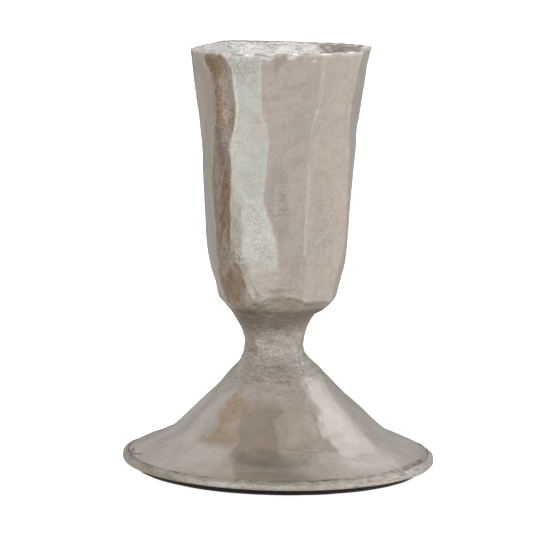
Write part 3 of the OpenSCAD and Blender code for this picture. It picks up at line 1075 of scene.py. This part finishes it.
def hammered_metal(name):
    """Silver leaf over cast metal, with a warm grey patina, burnished edges, fine crinkles, and painted
    reflections, highlights and shade.
    """
    n = Material(name)
    edge, inside, shade, dull, crinkled = map(n.tag, ("edge", "inside", "shade", "dull", "crinkled"))
    crinkle = n.noise(1.7, 4, 0.62, distortion=0.7)
    fold = n.math("ABSOLUTE", n.math("SUBTRACT", n.noise(1.9, 2, 0.5, distortion=1.0), 0.5))
    ripple = n.noise(2.6, 3, 0.6, place=n.stretch((0.55, 0.55, 1.4)), distortion=0.9)
    deep = n.times(n.math("SUBTRACT", crinkled, 0.45, clamp=True), 1.6)
    paint_leaf(n, shade)
    paint_wrinkles(n, shade, crinkled, deep, fold, ripple)
    paint_wear(n, edge, inside, shade)
    # Less metallic inside the bowl and where the lip's painted highlights lie, so the lamp lights them.
    n.link(n.remap(inside, 0, 1, 1.0, 0.38), n.shader.inputs["Metallic"])
    metal_relief(n, crinkled, deep, crinkle, fold, ripple)
    rough = n.remap(n.noise(8, 4, 0.6), 0.3, 0.7, 0.13, 0.22)
    return n.finish(n.math("ADD", rough, n.times(dull, 0.16)))


def felt_material():
    n = Material("felt_black")
    fuzz = n.noise(0.6, 5, 0.7)
    n.color = rgb(16, 15, 15)
    n.paint(n.remap(fuzz, 0.35, 0.7), 38, 36, 35)
    n.shader.inputs["Sheen Weight"].default_value = 0.3
    n.bump(fuzz, 0.8, 0.4)
    return n.finish(0.95)


def steel_material(name, color, grain_mm, rough):
    """Plated steel or plain sheet for the fixings inside the foot."""
    n = Material(name)
    n.shader.inputs["Metallic"].default_value = 1.0
    grain = n.noise(grain_mm, 5, 0.6)
    n.color = rgb(*color)
    n.paint(n.remap(grain, 0.35, 0.65), *(int(c * 0.82) for c in color))
    shine = n.remap(n.noise(3 * grain_mm, 3, 0.5), 0.3, 0.7, rough - 0.08, rough + 0.08)
    n.bump(grain, 0.15, 0.05)
    return n.finish(shine)


def dress_cad_node(node, material):
    """Gives a CAD node that stays in view its material."""
    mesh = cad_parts[node].data
    mesh.materials.clear()
    mesh.materials.append(material)


# ---------------- floor, light and camera

FLOOR_Z = -0.0002  # a hair under the pad, so that the two faces don't meet
# Rings of the floor in metres, radius and height. It curves up into the backdrop.
FLOOR_RINGS = [
    (1, FLOOR_Z), (2.6, FLOOR_Z), (3.2, 0.06), (3.7, 0.3), (4.0, 0.8), (4.1, 1.6), (4.1, 3.2),
]
FLOOR_SIDES = 96
# Colours of the room by elevation in degrees.
SKY_LAYERS = [
    (-52, (0.45, 0.40, 0.36, 1)), (-36, (0.69, 0.625, 0.585, 1)), (-4, (0.69, 0.625, 0.585, 1)),
    (10, (0.80, 0.79, 0.77, 1)), (26, (0.585, 0.58, 0.555, 1)), (34, (0.63, 0.61, 0.585, 1)),
    (54, (0.60, 0.57, 0.55, 1)), (60, (0.53, 0.47, 0.42, 1)),
]
# Soft panels: azimuth, elevation, half-width, half-height and softness in degrees, and colour.
SKY_PANELS = [
    (180, -20, 44, 44, 14, (0.465, 0.445, 0.42, 1)),
    (-33, -8, 32, 23, 8, (0.82, 0.86, 0.83, 1)),
    (-99, -26, 23, 42, 8, (0.325, 0.262, 0.20, 1)),
    (87, -18, 26, 22, 8, (0.78, 0.71, 0.66, 1)),
    (130, 44, 38, 12, 4, (0.87, 0.84, 0.82, 1)),
    (-112, 50, 12, 8, 5, (0.49, 0.42, 0.335, 1)),
    (40, 67, 40, 8, 5, (0.52, 0.45, 0.41, 1)),
]
LAMP_SIZE = 1.6
LAMP_POWER = 34  # watts
LAMP_PLACE = (-0.2, -0.4, 1.8)
CAMERA_BACK = 1.684  # metres, as are the next and CAMERA_ASIDE
CAMERA_UP = 0.354
CAMERA_DOWN = 9.107  # degrees
CAMERA_ROLL = 1.1  # degrees
CAMERA_ASIDE = -0.0036
LENS = 269.3  # millimetres


def floor():
    """A pale floor that curves up into a backdrop far behind every view."""
    sides = FLOOR_SIDES
    points = [(0.0, 0.0, FLOOR_Z)]
    for r, z in FLOOR_RINGS:
        for i in range(sides):
            a = 2 * math.pi * i / sides
            points.append((r * math.cos(a), r * math.sin(a), z))
    faces = [(0, 1 + i, 1 + (i + 1) % sides) for i in range(sides)]
    for k in range(len(FLOOR_RINGS) - 1):
        for i in range(sides):
            a, b = 1 + k * sides + i, 1 + k * sides + (i + 1) % sides
            faces.append((a, a + sides, b + sides, b))
    mesh = smooth_mesh("studio_floor", points, faces)
    mesh.materials.append(floor_material())
    sweep = new_object("studio_floor", mesh)
    sweep.visible_glossy = False
    sweep.visible_diffuse = False


def floor_material():
    material = bpy.data.materials.new("pale_floor")
    material.use_nodes = True
    shader = material.node_tree.nodes["Principled BSDF"]
    shader.inputs["Base Color"].default_value = (0.9, 0.9, 0.9, 1)
    shader.inputs["Roughness"].default_value = 1.0
    shader.inputs["Specular IOR Level"].default_value = 0.0
    shader.inputs["Emission Color"].default_value = (1, 1, 1, 1)
    shader.inputs["Emission Strength"].default_value = 0.88
    return material


class Sky(NodeTree):
    """The studio seen in the metal: a plain gradient with soft panels, fixed in the room."""

    def __init__(self):
        world = bpy.data.worlds.new("studio")
        bpy.context.scene.world = world
        world.use_nodes = True
        super().__init__(world.node_tree)
        self.direction = self.node("TexCoord").outputs["Generated"]
        self.x, self.y, z = self.node("SeparateXYZ", Vector=self.direction).outputs
        self.elevation = self.math("ARCSINE", z)
        self.color = None

    def layers(self, steps):
        """Colours by elevation in degrees, from low to high, each blending into the next."""
        self.color = steps[0][1]
        for (below, _), (above, color) in zip(steps, steps[1:]):
            share = self.remap(self.elevation, math.radians(below), math.radians(above))
            self.color = self.mix(share, self.color, color)

    def within(self, away, half, soft):
        """1 up to half degrees away, with an edge soft degrees wide."""
        half, edge = math.radians(half), math.radians(soft) / 2
        return self.remap(away, half + edge, half - edge)

    def panel(self, azimuth, elevation, half_width, half_height, soft, color):
        """A soft-edged panel. Azimuth 0 is the viewer's side and positive is to the right."""
        a = math.radians(azimuth)
        across = self.math("ADD", self.times(self.x, math.cos(a)), self.times(self.y, math.sin(a)))
        along = self.math("SUBTRACT", self.times(self.x, math.sin(a)), self.times(self.y, math.cos(a)))
        aside = self.math("ABSOLUTE", self.math("ARCTAN2", across, along))
        above = self.math("ABSOLUTE", self.math("SUBTRACT", self.elevation, math.radians(elevation)))
        share = self.times(self.within(aside, half_width, soft), self.within(above, half_height, soft))
        self.color = self.mix(share, self.color, color)

    def finish(self, scale, depth):
        """Links it up, its brightness uneven by depth in patches of soft outline."""
        node = self.node("TexNoise", Vector=self.direction, Scale=scale, Detail=3)
        dark = self.remap(node.outputs["Fac"], 0.52, 0.42)
        strength = self.math("SUBTRACT", 1.0, self.times(dark, depth))
        background = self.tree.nodes["Background"]
        self.link(self.color, background.inputs["Color"])
        self.link(strength, background.inputs["Strength"])


def light():
    """The room that the metal mirrors, and one soft lamp overhead."""
    sky = Sky()
    sky.layers(SKY_LAYERS)
    for panel in SKY_PANELS:
        sky.panel(*panel)
    sky.finish(3.2, 0.15)

    lamp = bpy.data.lights.new("overhead", "AREA")
    lamp.shape = "DISK"
    lamp.size = LAMP_SIZE
    lamp.energy = LAMP_POWER
    lamp.color = (0.975, 0.98, 1.0)
    top = new_object("overhead", lamp)
    top.location = LAMP_PLACE
    top.rotation_euler = (math.radians(12), 0, math.radians(-20))
    top.visible_glossy = False
    top.visible_camera = False


def camera():
    """The photo's camera: a long lens, looking down a little and rolled a little."""
    data = bpy.data.cameras.new("camera")
    data.lens = LENS
    data.sensor_width = 36
    data.clip_start = 0.05
    data.clip_end = 50
    eye = new_object("camera", data)
    eye.location = (CAMERA_ASIDE, -CAMERA_BACK, CAMERA_UP)
    eye.rotation_mode = "QUATERNION"
    tilt = Quaternion((1, 0, 0), math.radians(90 - CAMERA_DOWN))
    roll = Quaternion((0, 0, 1), math.radians(CAMERA_ROLL))
    eye.rotation_quaternion = tilt @ roll
    bpy.context.scene.camera = eye
    bpy.context.scene.view_settings.view_transform = "Standard"


# ---------------- everything together

camera()
light()
floor()

metal = hammered_metal("hammered_silver")
for make in (cup, stem, foot, band):
    make().data.materials.append(metal)
felt_pad().data.materials.append(felt_material())

plated = steel_material("plated_steel", (200, 202, 205), 0.8, 0.3)
sheet_metal = steel_material("sheet_metal", (190, 188, 184), 1.4, 0.42)
for node in ("stud_boss", "tie_stud", "wide_washer", "spring_washer", "nut"):
    dress_cad_node(node, plated)
dress_cad_node("base_disc", sheet_metal)
